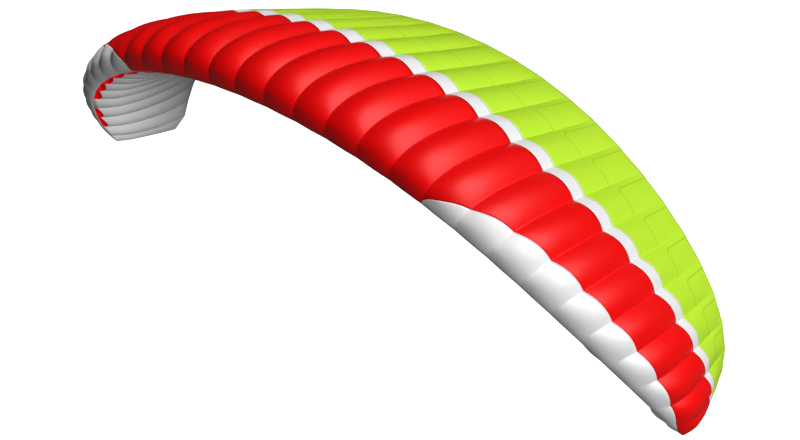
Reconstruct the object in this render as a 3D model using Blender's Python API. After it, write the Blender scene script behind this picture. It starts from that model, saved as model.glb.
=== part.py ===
"""Paraglider wing: a ram-air canopy of 31 cells, inflated, in its flying shape.

It is made of thin cloth sheets: a flat rib at each side of every cell, and skin
panels sewn over the ribs, cut by colour.  Each sheet is one closed solid.

Metres.  +Z is up, the wing flies towards -Y and its left tip is at +X.  The origin
is in the middle of the underside, where the pull of the suspension lines meets it.
"""

import bmesh
import bpy
import numpy as np

# Driving dimensions of the wing
CELLS = 31
HALF_SPAN = 5.5                    # half the span of the wing laid out flat
ROOT_CHORD = 2.975
CLOTH = 0.002                      # thickness of each sheet
SEAM_GAP = 0.0012                  # between two panels sewn edge to edge
SKIN_CLEARANCE = 0.0004            # from the ribs' outline to the inside of the skin
RIB_INSET = 0.0015                 # the ribs' cut edge stays this far inside the outline

# Laws along the span: terms of u, which is 0 at the centre and 1 at the tips
CELL_WIDTH_LOSS = {2: 0.470, 4: -0.233, 8: 0.387}
CHORD_LOSS = {2: 0.575, 4: -0.061, 8: 0.130, 80: 0.050}
LEADING_EDGE_SWEEP = {0: -0.007, 2: 0.215, 4: 0.291, 8: 0.009, 20: -0.012, 80: 0.010}
ARC_ANGLE = {1: 0.762, 3: 0.946, 5: -1.000, 9: 0.684}    # radians from level
TWIST_DEG = {0: -0.3, 2: 0.3, 4: -4.4, 10: 15.1}         # nose up
THICKENING = {0: 1.0, 4: 0.26}
TIP_THICKNESS = 0.35                                     # share left at the closed tip

# The cell's profile: height over chord is root * (1 - x) * (a + b x + c x x)
TOP_PROFILE = (0.328, -0.228, -0.006)
UNDER_PROFILE = (0.236, -0.084, 0.150)
UNDER_NOSE = 0.21                                        # more depth just under the nose
UNDER_NOSE_REACH = 0.03                                  # chord fraction that it fades over

# Billow of the cloth between two ribs, as a share of the cell's width
BILLOW_FRONT = 0.175
BILLOW_REAR = 0.07
BILLOW_FADE = 3                                          # power of the chord fraction
BILLOW_END = 20                                          # power that closes the rear
LIP_REACH = 0.52                                         # root length the lip pulls flat
UNDER_BILLOW = 0.9                                       # the underside bulges less
MOUTH_BILLOW = {0: 0.02, 2: 0.12}                        # at the edge of an intake
MOUTH_REACH = 0.25                                       # root length the edge pulls flat

# Places along the chord, as fractions of it
LIP = {0: 0.038, 2: -0.026}                              # lower edge of the nose
MOUTH_REAR = {0: 0.055, 2: -0.020}                       # front edge of the underside
MOUTH_NOTCH = {2: 0.085}                                 # root length cut back mid-cell
MOUTH_NOTCH_FADE = 3                                     # power that ends it aft
REAR_CUT = 0.80                                          # share of the last row a rib has
TIP_REAR_CUT = 0.50
STRIPE_FRONT = {0: 0.407, 2: 0.119}
STRIPE_REAR = {0: 0.484, 2: 0.139}
PULL_POINT = 0.35                                        # where the lines' pull acts

# Rear edge of the white nose panels, as a signed root of the chord fraction.  It
# rises from below the nose at their root, holds a level, and drops near the tip.
NOSE_ROOT_RIB = 10
NOSE_LEVEL = 0.337
NOSE_ROOT_DROP = {6.3: 0.34, 80: 0.05}
NOSE_TIP_DROP = {8.5: 0.41}

# Rows of facets along the chord, and columns of facets in each cell
NOSE_ROWS = 3
FRONT_ROWS = 5
STRIPE_ROWS = 1
REAR_ROWS = 3
UNDER_ROWS = 5
TOP_COLUMNS = 3
UNDER_COLUMNS = 2
LEAST_STEP = 0.01                                        # between two corners of a rib
LEAST_RUN = 0.15                                         # skin per unit of root, at nose
ARC_STEPS = 400

# Cells of each panel, first and past the last, counted from the left tip
LEFT, CENTRE, RIGHT = (0, 10), (10, 21), (21, 31)
CENTRE_THIRDS = {"inner_left": (10, 14), "middle": (14, 17), "inner_right": (17, 21)}
TOP_RUNS = {"left": LEFT, **CENTRE_THIRDS, "right": RIGHT}
CLOSED_CELLS = {
    "tip_left": (0, 2),
    "blind_left": (4, 5),
    "blind_right": (26, 27),
    "tip_right": (29, 31),
}
OPEN_CELLS = {
    "outer_left": (2, 4),
    "mid_left": (5, 10),
    **CENTRE_THIRDS,
    "mid_right": (21, 26),
    "outer_right": (27, 29),
}

RED = ("red_cloth", (0.72, 0.004, 0.006), 0.42)
GREEN = ("green_cloth", (0.47, 0.82, 0.03), 0.42)
WHITE = ("white_cloth", (0.82, 0.82, 0.84), 0.45)


def law(terms, u):
    """Value at u of a law along the span, given as {power: factor}."""
    return sum(factor * np.abs(u) ** power for power, factor in terms.items())


def rib_stations():
    """Places of the rib lines along the flat span, from +1 at the left tip to -1."""
    middle = (np.arange(CELLS) + 0.5) / CELLS * 2 - 1
    width = 1 - law(CELL_WIDTH_LOSS, middle)
    edge = np.concatenate([[0.0], np.cumsum(width)])
    return 1 - 2 * edge / edge[-1]


def arc_place(u):
    """Side and height of a rib line on the arc, and its tilt out of upright."""
    middle = (np.arange(ARC_STEPS) + 0.5) / ARC_STEPS * abs(u)
    angle = law(ARC_ANGLE, middle)
    across = HALF_SPAN * u * np.mean(np.cos(angle))
    down = HALF_SPAN * abs(u) * np.mean(np.sin(angle))
    return across, -down, np.sign(u) * law(ARC_ANGLE, u)


def profile(s, thickness):
    """Chord fraction and height at s, the signed root of the chord fraction.

    s runs from 1 at the trailing edge over the top to 0 at the nose, and on to -1
    along the underside.
    """
    x = s * s
    a, b, c = TOP_PROFILE
    top = a + b * x + c * x * x
    a, b, c = UNDER_PROFILE
    under = a + b * x + c * x * x + UNDER_NOSE * np.exp(-x / UNDER_NOSE_REACH)
    height = s * (1 - x) * np.where(s > 0, top, under) * thickness
    return x, height


def rib_thickness(u):
    """How thick the profile is beside the centre one; it closes at the tip."""
    last = abs(STATIONS[1])
    closing = np.interp(abs(u), [last, 1.0], [1.0, TIP_THICKNESS])
    return law(THICKENING, u) * closing


def rib_curve(u, s):
    """Points of the profile at span place u, and the outward normals in its plane."""
    across, up, tilt = arc_place(u)
    chord = ROOT_CHORD * (1 - law(CHORD_LOSS, u))
    lead = ROOT_CHORD * law(LEADING_EDGE_SWEEP, u)
    twist = np.radians(law(TWIST_DEG, u))
    thickness = rib_thickness(u)

    def flat(at):
        x, height = profile(at, thickness)
        aft = lead + chord * (x * np.cos(twist) + height * np.sin(twist))
        rise = chord * (height * np.cos(twist) - x * np.sin(twist))
        return aft, rise

    def stand(aft, rise):
        return np.stack([rise * np.sin(tilt), aft, rise * np.cos(tilt)], -1)

    aft, rise = flat(s)
    small = 1e-4
    ahead, behind = flat(s - small), flat(s + small)
    run = np.stack([behind[0] - ahead[0], behind[1] - ahead[1]], -1)
    run /= np.linalg.norm(run, axis=-1, keepdims=True)
    points = stand(aft, rise) + np.array([across, 0.0, up])
    normals = stand(-run[:, 1], run[:, 0])
    return points, normals


def lip(u):
    """Root coordinate of the nose's lower edge."""
    return -np.sqrt(law(LIP, u))


def mouth_rear(u):
    """Root coordinate of the underside's front edge, at a rib."""
    return -np.sqrt(law(MOUTH_REAR, u))


def ease(share):
    """Smooth step from 0 to 1."""
    share = np.clip(share, 0, 1)
    return share ** 2 * (3 - 2 * share)


def billow(s, u):
    """Depth of the bulge in the cell at u, as a share of the cell's width.

    The lip is taut and straight.  The bulge grows from it over the nose, and along the
    underside it grows from the edge of the air intake.
    """
    x = s * s
    full = BILLOW_FRONT + (BILLOW_REAR - BILLOW_FRONT) * x ** BILLOW_FADE
    over = ease((s - lip(u)) / LIP_REACH)
    edge = law(MOUTH_BILLOW, u) / BILLOW_FRONT
    under = edge + (UNDER_BILLOW - edge) * ease((mouth_rear(u) - s) / MOUTH_REACH)
    under = under * np.clip((lip(u) - s) / (lip(u) - mouth_rear(u)), 0, 1)
    return full * (1 - x ** BILLOW_END) * np.where(s > lip(u), over, under)


def seam_shift(u, s, side):
    """The root coordinate s moved by half a seam gap along the skin."""
    chord = ROOT_CHORD * (1 - law(CHORD_LOSS, u))
    run = chord * max(2 * abs(s), LEAST_RUN)
    return s + side * SEAM_GAP / 2 / run


def nose_edge(u):
    """Rear edge of the white nose panel at span place u."""
    root = abs(STATIONS[NOSE_ROOT_RIB])
    share = max(abs(u) - root, 0) / (1 - root)
    return NOSE_LEVEL - law(NOSE_ROOT_DROP, 1 - share) - law(NOSE_TIP_DROP, share)


def place_origin():
    """Middle of the underside at the pull point, which becomes the origin."""
    s = np.array([-np.sqrt(PULL_POINT)])
    left, _ = rib_curve(STATIONS[CELLS // 2], s)
    right, _ = rib_curve(STATIONS[CELLS // 2 + 1], s)
    bulge = billow(s, 0.0)[0] * np.linalg.norm(left[0] - right[0])
    return (left[0] + right[0]) / 2 - np.array([0, 0, bulge])


def panel_grid(cells, columns, lines, notch):
    """Points and normals of a skin panel: one column of points for each span place.

    lines(u) gives the panel's root coordinates from its front to its rear edge at a
    span place, and notch how far its front edge is cut back in mid-cell.  Between two
    ribs the cloth runs straight from one to the other, plus a bulge.  The panel's two
    side edges stay half a seam gap off their rib lines.
    """
    points, normals = [], []
    for cell in range(*cells):
        u_left, u_right = STATIONS[cell], STATIONS[cell + 1]
        u_middle = (u_left + u_right) / 2
        fade = np.linspace(1, 0, len(lines(u_middle))) ** MOUTH_NOTCH_FADE
        last = cell == cells[1] - 1
        for column in range(columns + last):
            share = column / columns
            cut_back = law(notch, u_middle) * fade * 4 * share * (1 - share)
            s = lines(u_left * (1 - share) + u_right * share) - cut_back
            left, left_normal = rib_curve(u_left, s)
            right, right_normal = rib_curve(u_right, s)
            span = right - left
            width = np.linalg.norm(span, axis=-1, keepdims=True)
            margin = SEAM_GAP / 2 / width
            v = share * np.ones_like(width)
            if cell == cells[0] and column == 0:
                v = margin
            if column == columns:
                v = 1 - margin
            outward = left_normal * (1 - v) + right_normal * v
            outward -= span * np.sum(outward * span, -1, keepdims=True) / width ** 2
            outward /= np.linalg.norm(outward, axis=-1, keepdims=True)
            depth = billow(s, u_middle)[:, None]
            points.append(left + span * v + outward * width * depth * 4 * v * (1 - v))
            if column == 0:
                lean = left_normal
            elif column == columns:
                lean = right_normal
            else:
                lean = outward - span / width * depth * 4 * (1 - 2 * v)
            normals.append(lean / np.linalg.norm(lean, axis=-1, keepdims=True))
    return np.array(points), np.array(normals)


def add_object(name, bm, finish):
    """Turns a bmesh into an object with its own plain material."""
    bmesh.ops.recalc_face_normals(bm, faces=bm.faces)
    mesh = bpy.data.meshes.new(name)
    bm.to_mesh(mesh)
    bm.free()
    piece = bpy.data.objects.new(name, mesh)
    bpy.context.collection.objects.link(piece)
    title, colour, roughness = finish
    material = bpy.data.materials.get(title) or bpy.data.materials.new(title)
    material.use_nodes = True
    shader = material.node_tree.nodes["Principled BSDF"]
    shader.inputs["Base Color"].default_value = (*colour, 1.0)
    shader.inputs["Roughness"].default_value = roughness
    shader.inputs["Metallic"].default_value = 0.0
    mesh.materials.append(material)
    return piece


def sheet(name, cells, columns, lines, finish, notch=None):
    """A skin panel as one closed solid, lying on the outside of the ribs' outline."""
    points, normals = panel_grid(cells, columns, lines, notch or {})
    points = points - ORIGIN
    inner = points + normals * SKIN_CLEARANCE
    outer = points + normals * (SKIN_CLEARANCE + CLOTH)
    across, along = points.shape[:2]
    bm = bmesh.new()
    low = [[bm.verts.new(p) for p in row] for row in inner]
    high = [[bm.verts.new(p) for p in row] for row in outer]
    for i in range(across - 1):
        for k in range(along - 1):
            for grid in (low, high):
                quad = (grid[i][k], grid[i + 1][k], grid[i + 1][k + 1], grid[i][k + 1])
                bm.faces.new(quad[:3])
                bm.faces.new((quad[0], quad[2], quad[3]))
    rim = [(i, 0) for i in range(across)]
    rim += [(across - 1, k) for k in range(1, along)]
    rim += [(i, along - 1) for i in range(across - 2, -1, -1)]
    rim += [(0, k) for k in range(along - 2, 0, -1)]
    for (i, k), (m, n) in zip(rim, rim[1:] + rim[:1]):
        bm.faces.new((low[i][k], low[m][n], high[m][n], high[i][k]))
    return add_object(name, bm, finish)


def span_between(start, end, rows):
    """Root coordinates from one edge to another in equal rows."""
    return np.linspace(start, end, rows + 1)


def nose_lines(u):
    """White nose panel, from the lip over the nose to its rear edge."""
    return span_between(lip(u), seam_shift(u, nose_edge(u), -1), NOSE_ROWS)


def front_lines(u):
    """Red front panel behind a white nose."""
    start = seam_shift(u, nose_edge(u), 1)
    return span_between(start, seam_shift(u, np.sqrt(law(STRIPE_FRONT, u)), -1), FRONT_ROWS)


def centre_front_lines(u):
    """Red front panel of the centre cells, which wraps the nose down to the lip."""
    rear = seam_shift(u, np.sqrt(law(STRIPE_FRONT, u)), -1)
    rows = span_between(nose_edge(STATIONS[NOSE_ROOT_RIB]), rear, FRONT_ROWS)
    return np.concatenate([[lip(u)], rows])


def stripe_lines(u):
    """White stripe between the red and the green."""
    start = seam_shift(u, np.sqrt(law(STRIPE_FRONT, u)), 1)
    return span_between(start, seam_shift(u, np.sqrt(law(STRIPE_REAR, u)), -1), STRIPE_ROWS)


def rear_lines(u):
    """Green rear panel, back to the trailing edge."""
    return span_between(seam_shift(u, np.sqrt(law(STRIPE_REAR, u)), 1), 1.0, REAR_ROWS)


def open_under_lines(u):
    """Underside panel behind an air intake."""
    return span_between(mouth_rear(u), -1.0, UNDER_ROWS)


def closed_under_lines(u):
    """Underside panel of a cell with no intake: it meets the nose's lip."""
    meet = seam_shift(u, lip(u), -2)
    return np.concatenate([[meet], open_under_lines(u)])


def rib(number):
    """A flat rib, cut a little inside the outline that the skins lie on."""
    u = STATIONS[number]
    at_tip = number in (0, CELLS)
    in_centre = CENTRE[0] <= number <= CENTRE[1]
    top = [centre_front_lines(u)] if in_centre else [nose_lines(u), front_lines(u)]
    top += [stripe_lines(u), rear_lines(u)]
    over = np.concatenate(top)
    over = over[np.diff(over, prepend=-1) > LEAST_STEP]
    if at_tip:
        over = over[over > 0]
    points, normals = rib_curve(u, np.concatenate([open_under_lines(u)[::-1], over]))
    inset = RIB_INSET / 2 if at_tip else RIB_INSET
    outline = points - normals * inset - ORIGIN
    cut = TIP_REAR_CUT if at_tip else REAR_CUT
    outline[0] = outline[0] * cut + outline[1] * (1 - cut)
    outline[-1] = outline[-1] * cut + outline[-2] * (1 - cut)
    tilt = arc_place(u)[2]
    sideways = np.array([np.cos(tilt), 0.0, -np.sin(tilt)]) * CLOTH / 2
    bm = bmesh.new()
    left = [bm.verts.new(p + sideways) for p in outline]
    right = [bm.verts.new(p - sideways) for p in outline]
    bm.faces.new(left)
    bm.faces.new(right[::-1])
    for k in range(len(outline)):
        n = (k + 1) % len(outline)
        bm.faces.new((left[n], left[k], right[k], right[n]))
    bmesh.ops.triangulate(bm, faces=bm.faces)
    return add_object(f"rib_{number + 1:02d}", bm, RED)


for old in list(bpy.data.objects):
    bpy.data.objects.remove(old, do_unlink=True)

STATIONS = rib_stations()
ORIGIN = place_origin()

for number in range(CELLS + 1):
    rib(number)

for side, cells in (("left", LEFT), ("right", RIGHT)):
    sheet(f"nose_{side}", cells, TOP_COLUMNS, nose_lines, WHITE)
    sheet(f"front_{side}", cells, TOP_COLUMNS, front_lines, RED)
for place, cells in CENTRE_THIRDS.items():
    sheet(f"front_{place}", cells, TOP_COLUMNS, centre_front_lines, RED)

for place, cells in TOP_RUNS.items():
    sheet(f"stripe_{place}", cells, TOP_COLUMNS, stripe_lines, WHITE)
    sheet(f"rear_{place}", cells, TOP_COLUMNS, rear_lines, GREEN)

for place, cells in OPEN_CELLS.items():
    sheet(f"under_{place}", cells, UNDER_COLUMNS, open_under_lines, WHITE, MOUTH_NOTCH)
for place, cells in CLOSED_CELLS.items():
    sheet(f"under_{place}", cells, UNDER_COLUMNS, closed_under_lines, WHITE)
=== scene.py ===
import bpy
import math
import numpy as np
from mathutils import Matrix, Vector


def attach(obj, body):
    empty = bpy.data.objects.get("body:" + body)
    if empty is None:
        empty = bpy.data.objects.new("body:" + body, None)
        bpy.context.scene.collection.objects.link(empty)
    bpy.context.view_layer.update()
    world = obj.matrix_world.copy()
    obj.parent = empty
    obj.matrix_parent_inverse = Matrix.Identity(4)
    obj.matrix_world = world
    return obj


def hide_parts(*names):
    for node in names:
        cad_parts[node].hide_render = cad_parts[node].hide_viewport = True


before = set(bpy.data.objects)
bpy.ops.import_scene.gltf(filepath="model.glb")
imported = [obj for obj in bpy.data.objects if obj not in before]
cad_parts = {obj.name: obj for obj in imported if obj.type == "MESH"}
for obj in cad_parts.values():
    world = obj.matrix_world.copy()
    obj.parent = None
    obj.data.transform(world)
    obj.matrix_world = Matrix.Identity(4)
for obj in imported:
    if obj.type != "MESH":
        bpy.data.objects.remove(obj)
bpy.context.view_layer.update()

# Camera: above and in front of the left tip, looking back and down along the wing.
# It is turned to its heading, dipped below the level and leant a little to one side.
CAMERA_PLACE = (8.435, -8.475, 4.832)
CAMERA_HEADING = 40.578
CAMERA_DIP = 27.750
CAMERA_LEAN = 3.750
CAMERA_LENS = 54.6
CAMERA_REACH = 400.0

camera_data = bpy.data.cameras.new("camera")
camera_data.lens = CAMERA_LENS
camera_data.clip_end = CAMERA_REACH
camera = bpy.data.objects.new("camera", camera_data)
camera.matrix_world = (
    Matrix.Translation(CAMERA_PLACE)
    @ Matrix.Rotation(math.radians(CAMERA_HEADING), 4, "Z")
    @ Matrix.Rotation(math.radians(90 - CAMERA_DIP), 4, "X")
    @ Matrix.Rotation(math.radians(CAMERA_LEAN), 4, "Z")
)
bpy.context.collection.objects.link(camera)
bpy.context.scene.camera = camera


# Ribs: flat profiles of stiff red ripstop, one between each pair of cells and one
# that closes each tip.  The skins are sewn along their edges.  The straight cut under
# the nose is the side of the air intake.
CELLS = 31
HALF_SPAN = 5.5
ROOT_CHORD = 2.975
CELL_WIDTH_LOSS = {2: 0.470, 4: -0.233, 8: 0.387}
CHORD_LOSS = {2: 0.575, 4: -0.061, 8: 0.130, 80: 0.050}
LEADING_EDGE_SWEEP = {0: -0.007, 2: 0.215, 4: 0.291, 8: 0.009, 20: -0.012, 80: 0.010}
ARC_ANGLE = {1: 0.762, 3: 0.946, 5: -1.000, 9: 0.684}
TWIST_DEG = {0: -0.3, 2: 0.3, 4: -4.4, 10: 15.1}
THICKENING = {0: 1.0, 4: 0.26}
TIP_THICKNESS = 0.35
TOP_PROFILE = (0.328, -0.228, -0.006)
UNDER_PROFILE = (0.236, -0.084, 0.150)
UNDER_NOSE = 0.21                        # more depth just under the nose
UNDER_NOSE_REACH = 0.03
PULL_POINT = (0.0, 1.0218, -0.3166)      # from the root's nose to the frame's origin
LIP = {0: 0.038, 2: -0.026}              # chord fraction of the nose's lower edge
MOUTH_REAR = {0: 0.055, 2: -0.020}       # and of the underside's front edge
ARC_STEPS = 400
SLOPE_STEP = 1e-4


def law(terms, u):
    """A {power: factor} table at span place u, 1 at the left tip and -1 at the right."""
    return sum(factor * abs(u) ** power for power, factor in terms.items())


middles = (np.arange(CELLS) + 0.5) / CELLS * 2 - 1
edges = np.concatenate([[0.0], np.cumsum(1 - law(CELL_WIDTH_LOSS, middles))])
STATIONS = 1 - 2 * edges / edges[-1]


def lip(u):
    return -math.sqrt(law(LIP, u))


def mouth_rear(u):
    return -math.sqrt(law(MOUTH_REAR, u))


def rib_curve(u, s):
    """Points and outward normals of the rib outline at span place u.

    s is the signed root of the chord fraction: above 0 on top, below 0 underneath.
    """
    steps = (np.arange(ARC_STEPS) + 0.5) / ARC_STEPS * abs(u)
    angles = law(ARC_ANGLE, steps)
    tilt = math.copysign(law(ARC_ANGLE, u), u)
    chord = ROOT_CHORD * (1 - law(CHORD_LOSS, u))
    lead = ROOT_CHORD * law(LEADING_EDGE_SWEEP, u)
    twist = math.radians(law(TWIST_DEG, u))
    closing = np.interp(abs(u), [STATIONS[1], 1.0], [1.0, TIP_THICKNESS])

    def outline(at):
        x = at * at
        over = TOP_PROFILE[0] + TOP_PROFILE[1] * x + TOP_PROFILE[2] * x * x
        below = UNDER_PROFILE[0] + UNDER_PROFILE[1] * x + UNDER_PROFILE[2] * x * x
        below = below + UNDER_NOSE * np.exp(-x / UNDER_NOSE_REACH)
        height = at * (1 - x) * np.where(at > 0, over, below)
        height = height * law(THICKENING, u) * closing
        aft = lead + chord * (x * math.cos(twist) + height * math.sin(twist))
        rise = chord * (height * math.cos(twist) - x * math.sin(twist))
        return np.stack([rise * math.sin(tilt), aft, rise * math.cos(tilt)], -1)

    run = outline(s + SLOPE_STEP) - outline(s - SLOPE_STEP)
    run /= np.linalg.norm(run, axis=-1, keepdims=True)
    flat_run = run[:, 0] * math.sin(tilt) + run[:, 2] * math.cos(tilt)
    normals = np.stack([run[:, 1] * math.sin(tilt), -flat_run, run[:, 1] * math.cos(tilt)], -1)
    across = HALF_SPAN * u * np.mean(np.cos(angles))
    down = HALF_SPAN * abs(u) * np.mean(np.sin(angles))
    points = outline(s) + np.array([across, 0.0, -down]) - np.array(PULL_POINT)
    return points, normals


def group(name, inputs, outputs):
    """A new shader node group with float and vector sockets."""
    tree = bpy.data.node_groups.new(name, "ShaderNodeTree")
    kinds = {"float": "NodeSocketFloat", "vector": "NodeSocketVector"}
    for title, kind, value in inputs:
        socket = tree.interface.new_socket(title, in_out="INPUT", socket_type=kinds[kind])
        socket.default_value = value
    for title, kind in outputs:
        tree.interface.new_socket(title, in_out="OUTPUT", socket_type=kinds[kind])
    start = tree.nodes.new("NodeGroupInput")
    end = tree.nodes.new("NodeGroupOutput")
    return tree, start, end


def sums(tree, operation, first, second=None, third=None):
    """A Math node of the given operation, fed by sockets or numbers."""
    node = tree.nodes.new("ShaderNodeMath")
    node.operation = operation
    for slot, value in zip(node.inputs, (first, second, third)):
        if isinstance(value, bpy.types.NodeSocket):
            tree.links.new(value, slot)
        elif value is not None:
            slot.default_value = value
    return node.outputs[0]


def ramp(tree, value, low, high, out_low=0.0, out_high=1.0):
    """Smooth step of a value between two limits."""
    node = tree.nodes.new("ShaderNodeMapRange")
    node.interpolation_type = "SMOOTHSTEP"
    tree.links.new(value, node.inputs["Value"])
    node.inputs["From Min"].default_value = low
    node.inputs["From Max"].default_value = high
    node.inputs["To Min"].default_value = out_low
    node.inputs["To Max"].default_value = out_high
    return node.outputs["Result"]


# Ripstop weave: fine cloth with a stronger thread every few millimetres both ways, and
# the faint clouds of tone that the coating leaves.
THREAD_SPACING = 0.006
THREAD_SHARE = 0.12                      # share of that spacing that a thread rises over
CLOUD_SCALE = 1.7
CLOUD_DETAIL = 3.0
CLOUD_LOW = 0.3
CLOUD_HIGH = 0.7

weave, weave_in, weave_out = group(
    "ripstop_weave",
    [
        ("Cloth", "vector", (0, 0, 0)),
        ("Spacing", "float", THREAD_SPACING),
        ("Thread", "float", THREAD_SHARE),
    ],
    [("Threads", "float"), ("Tone", "float")],
)
parts = weave.nodes.new("ShaderNodeSeparateXYZ")
weave.links.new(weave_in.outputs["Cloth"], parts.inputs[0])
lines = []
for axis in ("X", "Y"):
    repeat = sums(weave, "DIVIDE", parts.outputs[axis], weave_in.outputs["Spacing"])
    place = sums(weave, "PINGPONG", repeat, 0.5)
    near = sums(weave, "DIVIDE", place, weave_in.outputs["Thread"])
    lines.append(sums(weave, "MAXIMUM", sums(weave, "SUBTRACT", 1.0, near), 0.0))
threads = sums(weave, "MAXIMUM", lines[0], lines[1])
weave.links.new(threads, weave_out.inputs["Threads"])
clouds = weave.nodes.new("ShaderNodeTexNoise")
clouds.inputs["Scale"].default_value = CLOUD_SCALE
clouds.inputs["Detail"].default_value = CLOUD_DETAIL
weave.links.new(weave_in.outputs["Cloth"], clouds.inputs["Vector"])
tone = ramp(weave, clouds.outputs["Fac"], CLOUD_LOW, CLOUD_HIGH)
weave.links.new(tone, weave_out.inputs["Tone"])

# Sewn seam: a flat fold of cloth along a line with two rows of stitches, and the small
# puckers that the stitches draw into the cloth beside it.
STITCH_ROW = 0.6                         # place of the rows, as a share of the width
FOLD_EDGE = 1.2                          # and of the edge of the fold
ROW_CORE = 0.10
ROW_EDGE = 0.22
STITCH_RUN = 0.002                       # from the middle of a gap to that of a stitch
GAP_END = 0.0004
STITCH_START = 0.0009
PUCKER_START = 0.004
PUCKER_REACH = 0.055
PUCKER_SCALE = 26.0
PUCKER_DETAIL = 1.5

seam, seam_in, seam_out = group(
    "sewn_seam",
    [("Away", "float", 1.0), ("Along", "float", 0.0), ("Width", "float", 0.008)],
    [("Fold", "float"), ("Stitches", "float"), ("Puckers", "float")],
)
away = sums(seam, "ABSOLUTE", seam_in.outputs["Away"])
share = sums(seam, "DIVIDE", away, seam_in.outputs["Width"])
seam.links.new(ramp(seam, share, STITCH_ROW, FOLD_EDGE, 1.0, 0.0), seam_out.inputs["Fold"])
off_row = sums(seam, "ABSOLUTE", sums(seam, "SUBTRACT", share, STITCH_ROW))
row = ramp(seam, off_row, ROW_CORE, ROW_EDGE, 1.0, 0.0)
dash = sums(seam, "PINGPONG", seam_in.outputs["Along"], STITCH_RUN)
dashes = ramp(seam, dash, GAP_END, STITCH_START)
seam.links.new(sums(seam, "MULTIPLY", row, dashes), seam_out.inputs["Stitches"])
spread = ramp(seam, away, PUCKER_START, PUCKER_REACH, 1.0, 0.0)
wobble = seam.nodes.new("ShaderNodeTexNoise")
wobble.noise_dimensions = "1D"
wobble.inputs["Scale"].default_value = PUCKER_SCALE
wobble.inputs["Detail"].default_value = PUCKER_DETAIL
seam.links.new(seam_in.outputs["Along"], wobble.inputs["W"])
seam.links.new(sums(seam, "MULTIPLY", wobble.outputs["Fac"], spread), seam_out.inputs["Puckers"])

# How strongly the threads, the clouds, the folds and the stitches darken the cloth, make it rougher
# and stand up from it.
# The folds' darkening is partly the seam's own folded cloth and partly painted shade in the crease
# along each seam.
THREAD_DARK = 0.16
CLOUD_DARK = 0.10
FOLD_DARK_AND_CREASE_SHADE = 0.08
STITCH_DARK = 0.10
CLOUD_ROUGH = 0.08
FOLD_ROUGH = 0.12
THREAD_HEIGHT = 0.05
FOLD_HEIGHT = 0.20
RELIEF = 0.002
RELIEF_STRENGTH = 0.5
RIB_SEAM_WIDTH = 0.006
PANEL_SEAM_WIDTH = 0.007
CROSSING_CORE = 0.0036
CROSSING_EDGE = 0.012
CROSSING_SEAM_AND_SHADE = 0.32


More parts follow.
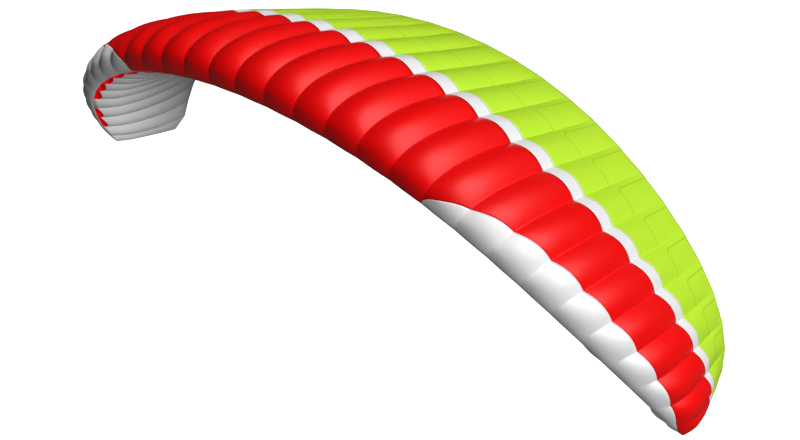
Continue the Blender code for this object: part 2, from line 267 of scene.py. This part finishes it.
def cloth_material(name, colour, dark, roughness, shine, crossing=None, painted_glow=0.0):
    """Coated ripstop of one colour, with its seams drawn from the panel's maps.

    crossing is the colour of a line drawn from a third map along a seam that crosses each cell; the
    line is partly the seam itself and partly painted shade where the cloth bends at the seam.
    painted_glow is a painted glow in the cloth's own colour that stands in for the daylight coming
    through the thin skins on to the cloth inside.
    """
    material = bpy.data.materials.new(name)
    material.use_nodes = True
    tree = material.node_tree
    shader = tree.nodes["Principled BSDF"]
    shader.inputs["Specular IOR Level"].default_value = shine
    shader.inputs["Emission Color"].default_value = (*colour, 1)
    # Painted glow: an emission in the cloth's own colour that stands in for daylight through the
    # skins.
    shader.inputs["Emission Strength"].default_value = painted_glow
    cloth_map = tree.nodes.new("ShaderNodeUVMap")
    cloth_map.uv_map = "cloth"
    seam_map = tree.nodes.new("ShaderNodeUVMap")
    seam_map.uv_map = "seams"
    away = tree.nodes.new("ShaderNodeSeparateXYZ")
    tree.links.new(seam_map.outputs[0], away.inputs[0])
    along = tree.nodes.new("ShaderNodeSeparateXYZ")
    tree.links.new(cloth_map.outputs[0], along.inputs[0])

    weave_node = tree.nodes.new("ShaderNodeGroup")
    weave_node.node_tree = weave
    tree.links.new(cloth_map.outputs[0], weave_node.inputs["Cloth"])

    folds, stitches, puckers = [], [], []
    for direction, run, width in (("X", "Y", RIB_SEAM_WIDTH), ("Y", "X", PANEL_SEAM_WIDTH)):
        seam_node = tree.nodes.new("ShaderNodeGroup")
        seam_node.node_tree = seam
        seam_node.inputs["Width"].default_value = width
        tree.links.new(away.outputs[direction], seam_node.inputs["Away"])
        tree.links.new(along.outputs[run], seam_node.inputs["Along"])
        folds.append(seam_node.outputs["Fold"])
        stitches.append(seam_node.outputs["Stitches"])
        puckers.append(seam_node.outputs["Puckers"])
    fold = sums(tree, "MAXIMUM", folds[0], folds[1])
    stitch = sums(tree, "MAXIMUM", stitches[0], stitches[1])
    pucker = sums(tree, "ADD", puckers[0], puckers[1])

    mix = tree.nodes.new("ShaderNodeMix")
    mix.data_type = "RGBA"
    mix.inputs["A"].default_value = (*colour, 1)
    mix.inputs["B"].default_value = (*dark, 1)
    shade = sums(tree, "MULTIPLY", weave_node.outputs["Threads"], THREAD_DARK)
    shade = sums(tree, "MULTIPLY_ADD", weave_node.outputs["Tone"], CLOUD_DARK, shade)
    # The folds' darkening: partly the seam's folded cloth, partly painted shade in the crease along
    # the seam.
    shade = sums(tree, "MULTIPLY_ADD", fold, FOLD_DARK_AND_CREASE_SHADE, shade)
    shade = sums(tree, "MULTIPLY_ADD", stitch, STITCH_DARK, shade)
    tree.links.new(shade, mix.inputs["Factor"])
    base = mix.outputs["Result"]
    # The crossing line: partly the seam itself, partly painted shade where the cloth bends at the
    # seam.
    if crossing:
        cross_map = tree.nodes.new("ShaderNodeUVMap")
        cross_map.uv_map = "crossing"
        cross = tree.nodes.new("ShaderNodeSeparateXYZ")
        tree.links.new(cross_map.outputs[0], cross.inputs[0])
        near = sums(tree, "ABSOLUTE", cross.outputs["X"])
        line = ramp(tree, near, CROSSING_CORE, CROSSING_EDGE, CROSSING_SEAM_AND_SHADE, 0.0)
        drawn = tree.nodes.new("ShaderNodeMix")
        drawn.data_type = "RGBA"
        drawn.inputs["B"].default_value = (*crossing, 1)
        tree.links.new(line, drawn.inputs["Factor"])
        tree.links.new(base, drawn.inputs["A"])
        base = drawn.outputs["Result"]
    tree.links.new(base, shader.inputs["Base Color"])
    least_rough = roughness - CLOUD_ROUGH / 2
    rough = sums(tree, "MULTIPLY_ADD", weave_node.outputs["Tone"], CLOUD_ROUGH, least_rough)
    rough = sums(tree, "MULTIPLY_ADD", fold, FOLD_ROUGH, rough)
    tree.links.new(rough, shader.inputs["Roughness"])

    height = sums(tree, "MULTIPLY", weave_node.outputs["Threads"], THREAD_HEIGHT)
    height = sums(tree, "ADD", pucker, height)
    height = sums(tree, "MULTIPLY_ADD", fold, FOLD_HEIGHT, height)
    bump = tree.nodes.new("ShaderNodeBump")
    bump.inputs["Strength"].default_value = RELIEF_STRENGTH
    bump.inputs["Distance"].default_value = RELIEF
    tree.links.new(height, bump.inputs["Height"])
    tree.links.new(bump.outputs[0], shader.inputs["Normal"])
    return material


def fill_maps(mesh, **maps):
    """Writes the piece's maps, in metres, from values at each point."""
    loops = np.empty(len(mesh.loops), dtype=np.int32)
    mesh.loops.foreach_get("vertex_index", loops)
    for name, values in maps.items():
        layer = mesh.uv_layers.new(name=name)
        layer.uv.foreach_set("vector", values[loops].astype(np.float32).ravel())


def finish_piece(piece, material, node):
    """Gives a piece its material and its place in the frame, and hides the part it stands for."""
    bpy.context.collection.objects.link(piece)
    piece.data.materials.append(material)
    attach(piece, "root")
    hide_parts(node)


RIB_THICKNESS = 0.0012
RIB_INSET = 0.002
RIB_FILL = 0.7                           # share of its rectangle that the profile fills
RIB_REAR = 0.98                          # where the profile is cut off short of its tail
RIB_UNDER_POINTS = 40
RIB_OVER_POINTS = 60

# The ribs carry a painted glow: an even red light of their own that stands in for daylight through
# the skins, so their shaded sides stay lit.
rib_red = cloth_material("rib_cloth", (0.70, 0.004, 0.004), (0.45, 0.0, 0.001), 0.5, 0.3, painted_glow=0.25)

for number, u in enumerate(STATIONS):
    under = np.linspace(-RIB_REAR, mouth_rear(u), RIB_UNDER_POINTS)
    over = np.linspace(lip(u), RIB_REAR, RIB_OVER_POINTS)
    points, normals = rib_curve(u, np.concatenate([under, over]))
    outline = points - normals * RIB_INSET
    tilt = math.copysign(law(ARC_ANGLE, u), u)
    sideways = np.array([math.cos(tilt), 0.0, -math.sin(tilt)]) * RIB_THICKNESS / 2
    count = len(outline)
    verts = np.concatenate([outline + sideways, outline - sideways])
    faces = [list(range(count)), list(range(2 * count - 1, count - 1, -1))]
    for k in range(count):
        n = (k + 1) % count
        faces.append([n, k, k + count, n + count])
    mesh = bpy.data.meshes.new(f"rib_cloth_{number + 1:02d}")
    mesh.from_pydata(verts.tolist(), [], faces)
    spread = outline - outline.mean(0)
    rise = spread @ np.array([math.sin(tilt), 0.0, math.cos(tilt)])
    flat = np.stack([rise, outline[:, 1]], -1)
    cloth = np.concatenate([flat, flat])
    seams = np.full_like(cloth, 1.0)
    fill_maps(mesh, cloth=cloth, seams=seams)
    piece = bpy.data.objects.new(f"rib_{number + 1:02d}_cloth", mesh)
    length = float(np.ptp(outline[:, 1]))
    turned = np.roll(flat, 1, axis=0)
    area = float(abs(np.sum(flat[:, 0] * turned[:, 1] - flat[:, 1] * turned[:, 0])) / 2)
    cut = (length, area / (RIB_FILL * length), area)
    finish_piece(piece, rib_red, f"rib_{number + 1:02d}")


# Underside: white ripstop, cut as a strip for each cell and sewn to the ribs' lower
# edges.  Neighbouring strips are one panel here.  A strip starts behind the mouth of
# the cell's air intake, or meets the nose where the cell has none.
BILLOW_FRONT = 0.175
BILLOW_REAR = 0.07
BILLOW_FADE = 3
BILLOW_END = 20
UNDER_BILLOW = 0.9
LIP_REACH = 0.52                         # root length over which the lip pulls it flat
MOUTH_NOTCH = {2: 0.085}                 # how far back the mouth's edge is cut mid-cell
MOUTH_BILLOW = {0: 0.02, 2: 0.12}        # bulge of the underside at that edge
MOUTH_REACH = 0.25                       # root length over which it grows to the full one
CLOTH = 0.0006
COLUMNS = 12
OPEN_ROWS = 40
CLOSED_ROWS = 44
LEAST_FILL = 0.31                        # least share of its cut rectangle that a panel fills

spacing = (1 - np.cos(np.linspace(0, math.pi, COLUMNS + 1))) / 2


def ease(share):
    share = np.clip(share, 0, 1)
    return share ** 2 * (3 - 2 * share)


def billow(s, u):
    """Depth of the air's bulge in the cell at u, as a share of the cell's width.

    The lip is taut and straight.  The bulge grows from it over the nose, and along the
    underside it grows from the edge of the intake.
    """
    x = s * s
    full = (BILLOW_FRONT + (BILLOW_REAR - BILLOW_FRONT) * x ** BILLOW_FADE) * (1 - x ** BILLOW_END)
    edge = law(MOUTH_BILLOW, u) / BILLOW_FRONT
    under = edge + (UNDER_BILLOW - edge) * ease((mouth_rear(u) - s) / MOUTH_REACH)
    under = under * np.clip((lip(u) - s) / (lip(u) - mouth_rear(u)), 0, 1)
    return full * np.where(s > lip(u), ease((s - lip(u)) / LIP_REACH), under)


def panel_sheet(name, cells, rows, start, end, notch=None, crossing=None):
    """A panel over a run of cells, from its front line to its rear line.

    start(u) and end(u) give the lines as signed roots of the chord fraction, of which
    end is the greater.  notch says how far back the end line is cut in mid-cell, and
    crossing measures how far each point is from a seam that crosses the cells.
    Returns the object and its cut width, length and area.
    """
    columns, across, rib_gap, line_gap, along, off_seam = [], [], [], [], [], []
    reach = 0.0
    depth_share = np.linspace(0, 1, rows + 1)
    for cell in range(*cells):
        last = cell == cells[1] - 1
        middle = (STATIONS[cell] + STATIONS[cell + 1]) / 2
        cut_back = law(notch, middle) * depth_share ** 3 if notch else 0.0
        for v in spacing[: COLUMNS + last]:
            u = STATIONS[cell] * (1 - v) + STATIONS[cell + 1] * v
            s = start(u) + (end(u) - start(u)) * depth_share - cut_back * 4 * v * (1 - v)
            left, left_out = rib_curve(STATIONS[cell], s)
            right, right_out = rib_curve(STATIONS[cell + 1], s)
            span = right - left
            width = np.linalg.norm(span, axis=-1, keepdims=True)
            out = left_out * (1 - v) + right_out * v
            out -= span * np.sum(out * span, -1, keepdims=True) / width ** 2
            out /= np.linalg.norm(out, axis=-1, keepdims=True)
            bulge = width * billow(s, middle)[:, None] * 4 * v * (1 - v)
            line = left + span * v + out * bulge
            run = np.linalg.norm(np.diff(line, axis=0), axis=-1)
            run = np.concatenate([[0.0], np.cumsum(run)])
            columns.append(line)
            across.append(reach + width[:, 0] * v)
            rib_gap.append(width[:, 0] * min(v, 1 - v))
            line_gap.append(np.minimum(run, run[-1] - run))
            along.append(run)
            if crossing:
                outer = v if middle > 0 else 1 - v
                off_seam.append(crossing(outer, width[:, 0], run))
        reach += float(width.max())
    points = np.array(columns)
    count, depth = points.shape[:2]
    index = np.arange(count * depth).reshape(count, depth)
    quads = np.stack([index[:-1, :-1], index[:-1, 1:], index[1:, 1:], index[1:, :-1]], -1)
    mesh = bpy.data.meshes.new(name)
    mesh.from_pydata(points.reshape(-1, 3).tolist(), [], quads.reshape(-1, 4).tolist())
    cloth = np.stack([across, along], -1).reshape(-1, 2)
    seams = np.stack([rib_gap, line_gap], -1).reshape(-1, 2)
    fill_maps(mesh, cloth=cloth, seams=seams)
    if crossing:
        off_seam = np.array(off_seam).ravel()
        fill_maps(mesh, crossing=np.stack([off_seam, np.zeros_like(off_seam)], -1))
    mesh.shade_smooth()
    area = sum(face.area for face in mesh.polygons)
    width = float(np.linalg.norm(np.diff(points, axis=0), axis=-1).sum(0).max())
    length = float(np.max(along))
    cut = (width, length, max(area, LEAST_FILL * width * length))
    piece = bpy.data.objects.new(name, mesh)
    thickness = piece.modifiers.new("cloth", "SOLIDIFY")
    thickness.thickness = CLOTH
    thickness.offset = 0.0
    return piece, cut


def trailing_under(u):
    return -1.0


under_white = cloth_material("under_cloth", (0.95, 0.94, 0.94), (0.66, 0.65, 0.66), 0.45, 0.9)
open_cells = {
    "outer_left": (2, 4),
    "mid_left": (5, 10),
    "inner_left": (10, 14),
    "middle": (14, 17),
    "inner_right": (17, 21),
    "mid_right": (21, 26),
    "outer_right": (27, 29),
}
closed_cells = {
    "tip_left": (0, 2),
    "blind_left": (4, 5),
    "blind_right": (26, 27),
    "tip_right": (29, 31),
}
for place, cells in open_cells.items():
    piece, cut = panel_sheet(
        f"underside_{place}", cells, OPEN_ROWS, trailing_under, mouth_rear, notch=MOUTH_NOTCH
    )
    finish_piece(piece, under_white, f"under_{place}")
for place, cells in closed_cells.items():
    piece, cut = panel_sheet(f"underside_{place}", cells, CLOSED_ROWS, trailing_under, lip)
    finish_piece(piece, under_white, f"under_{place}")


# White nose panels: white ripstop on each outer half of the wing, sewn to the ribs from
# the lip over the nose.  Their rear edge rises from below the nose, holds a level and
# drops near the tip.
NOSE_ROOT_RIB = 10
NOSE_ROWS = 24
NOSE_LEVEL = 0.337
NOSE_ROOT_DROP = {6.3: 0.34, 80: 0.05}
NOSE_TIP_DROP = {8.5: 0.41}


def nose_edge(u):
    root = abs(STATIONS[NOSE_ROOT_RIB])
    share = max(abs(u) - root, 0) / (1 - root)
    return NOSE_LEVEL - law(NOSE_ROOT_DROP, 1 - share) - law(NOSE_TIP_DROP, share)


nose_white = cloth_material("nose_cloth", (0.91, 0.91, 0.91), (0.68, 0.68, 0.69), 0.52, 1.0)
outer_runs = {
    "left": (0, NOSE_ROOT_RIB),
    "right": (CELLS - NOSE_ROOT_RIB, CELLS),
}
for place, cells in outer_runs.items():
    piece, cut = panel_sheet(f"white_nose_{place}", cells, NOSE_ROWS, lip, nose_edge)
    finish_piece(piece, nose_white, f"nose_{place}")


# Red front panels: the top skin of red ripstop from the nose to the stripe, sewn to the
# ribs.  In the middle of the wing they wrap the nose down to the lip of the intakes.
STRIPE_FRONT = {0: 0.407, 2: 0.119}
STRIPE_REAR = {0: 0.484, 2: 0.139}
OUTER_FRONT_ROWS = 32
INNER_FRONT_ROWS = 48


def stripe_start(u):
    return math.sqrt(law(STRIPE_FRONT, u))


def stripe_end(u):
    return math.sqrt(law(STRIPE_REAR, u))


front_red = cloth_material("red_cloth", (0.89, 0.002, 0.002), (0.60, 0.0, 0.001), 0.41, 0.30)
for place, cells in outer_runs.items():
    piece, cut = panel_sheet(
        f"red_front_{place}", cells, OUTER_FRONT_ROWS, nose_edge, stripe_start
    )
    finish_piece(piece, front_red, f"front_{place}")
inner_runs = {
    "inner_left": (10, 14),
    "middle": (14, 17),
    "inner_right": (17, 21),
}
for place, cells in inner_runs.items():
    piece, cut = panel_sheet(f"red_front_{place}", cells, INNER_FRONT_ROWS, lip, stripe_start)
    finish_piece(piece, front_red, f"front_{place}")


# White stripe: narrow strips of white ripstop that cross the whole span between the red
# and the green.  They are cut separately and sewn in along both edges.
STRIPE_ROWS = 8

stripe_white = cloth_material("stripe_cloth", (0.86, 0.86, 0.87), (0.66, 0.66, 0.68), 0.5, 0.35)
top_runs = {"left": outer_runs["left"], **inner_runs, "right": outer_runs["right"]}
for place, cells in top_runs.items():
    piece, cut = panel_sheet(
        f"white_stripe_{place}", cells, STRIPE_ROWS, stripe_start, stripe_end
    )
    finish_piece(piece, stripe_white, f"stripe_{place}")


# Green rear panels: the top skin of green ripstop from the stripe to the trailing edge,
# sewn to the ribs.  A seam crosses each cell from its outer rib, and turns to the rear
# before it meets the inner one.  A dark green line is drawn along it, partly the seam
# itself and partly painted shade where the cloth bends at the seam.
CROSSING_PLACE = 0.42                    # share of the panel's length
CROSSING_TURN = 0.80                     # share of the cell's width
CROSSING_RADIUS = 0.11
REAR_ROWS = 36


def trailing_over(u):
    return 1.0


def crossing_seam(outer, width, run):
    """How far each point is from the seam, outer being its place across the cell."""
    aft = run - CROSSING_PLACE * run[-1]
    below = (CROSSING_TURN - outer) * width
    corner = CROSSING_RADIUS - np.hypot(CROSSING_RADIUS - aft, CROSSING_RADIUS - below)
    at_corner = (aft < CROSSING_RADIUS) & (below < CROSSING_RADIUS)
    return np.where(at_corner, corner, np.minimum(aft, below))


# The crossing colour is a dark green, partly for the seam and partly painted shade where the cloth
# bends at it.
rear_green = cloth_material(
    "green_cloth", (0.52, 0.84, 0.031), (0.385, 0.69, 0.015), 0.5, 0.35, crossing=(0.16, 0.34, 0.02)
)
for place, cells in top_runs.items():
    piece, cut = panel_sheet(
        f"green_rear_{place}", cells, REAR_ROWS, stripe_end, trailing_over, crossing=crossing_seam
    )
    finish_piece(piece, rear_green, f"rear_{place}")


# Floor: a wide pale sheet far below the wing, which hangs free above it.  It is painted
# on its upper side and clear from below.
FLOOR_DEPTH = 7.0
FLOOR_HALF = 150.0
FLOOR_PAINT = (0.93, 0.93, 0.93, 1)
FLOOR_ROUGHNESS = 0.9
FLOOR_GLOW = 0.9

floor_mesh = bpy.data.meshes.new("floor")
corners = [(-1, -1), (1, -1), (1, 1), (-1, 1)]
corners = [(x * FLOOR_HALF, y * FLOOR_HALF, -FLOOR_DEPTH) for x, y in corners]
floor_mesh.from_pydata(corners, [], [(0, 1, 2, 3)])
floor = bpy.data.objects.new("floor", floor_mesh)
bpy.context.collection.objects.link(floor)
floor_white = bpy.data.materials.new("floor_paint")
floor_white.use_nodes = True
floor_tree = floor_white.node_tree
floor_shader = floor_tree.nodes["Principled BSDF"]
floor_shader.inputs["Base Color"].default_value = FLOOR_PAINT
floor_shader.inputs["Roughness"].default_value = FLOOR_ROUGHNESS
floor_shader.inputs["Emission Color"].default_value = (1, 1, 1, 1)
floor_shader.inputs["Emission Strength"].default_value = FLOOR_GLOW
clear = floor_tree.nodes.new("ShaderNodeBsdfTransparent")
side = floor_tree.nodes.new("ShaderNodeNewGeometry")
choose = floor_tree.nodes.new("ShaderNodeMixShader")
floor_tree.links.new(side.outputs["Backfacing"], choose.inputs["Fac"])
floor_tree.links.new(floor_shader.outputs[0], choose.inputs[1])
floor_tree.links.new(clear.outputs[0], choose.inputs[2])
floor_tree.links.new(choose.outputs[0], floor_tree.nodes["Material Output"].inputs["Surface"])
floor_mesh.materials.append(floor_white)
floor.visible_diffuse = False
floor.visible_glossy = False

# Light: two studio lamps, one low on the wing's left and one overhead, and between them
# a wide white screen that shows only as the soft sheen on the cloth.  The pale room's
# floor throws a little light up at the underside.
FLOOR_LIGHT = 0.075
SKY_LIGHT = 0.01
FLOOR_LIGHT_EDGE = -0.3                  # height of the view below which it is full
SKY_LIGHT_EDGE = 0.1                     # and above which there is only the sky's

world = bpy.data.worlds.new("room")
bpy.context.scene.world = world
world.use_nodes = True
room = world.node_tree
background = room.nodes["Background"]
path = room.nodes.new("ShaderNodeLightPath")
direction = room.nodes.new("ShaderNodeTexCoord")
height = room.nodes.new("ShaderNodeSeparateXYZ")
room.links.new(direction.outputs["Generated"], height.inputs[0])
fill = ramp(
    room, height.outputs["Z"], FLOOR_LIGHT_EDGE, SKY_LIGHT_EDGE, FLOOR_LIGHT, SKY_LIGHT
)
seen = sums(room, "MAXIMUM", path.outputs["Is Camera Ray"], fill)
room.links.new(seen, background.inputs["Strength"])
background.inputs["Color"].default_value = (1, 1, 1, 1)

LAMPS = {
    "side_lamp": ((0.885, -0.352, 0.305), 2.08, 16, "diffuse"),
    "top_lamp": ((0.165, 0.092, 0.982), 2.00, 20, "diffuse"),
    "sheen_screen": ((0.55, 0.0, 0.835), 3.90, 64, "sheen"),
}
for name, (towards, strength, angle, use) in LAMPS.items():
    lamp_data = bpy.data.lights.new(name, "SUN")
    lamp_data.energy = strength
    lamp_data.angle = math.radians(angle)
    lamp = bpy.data.objects.new(name, lamp_data)
    lamp.rotation_mode = "QUATERNION"
    lamp.rotation_quaternion = Vector(towards).to_track_quat("Z", "Y")
    lamp.visible_diffuse = use == "diffuse"
    lamp.visible_glossy = use == "sheen"
    bpy.context.collection.objects.link(lamp)

view = bpy.context.scene.view_settings
view.view_transform = "Standard"
view.look = "None"
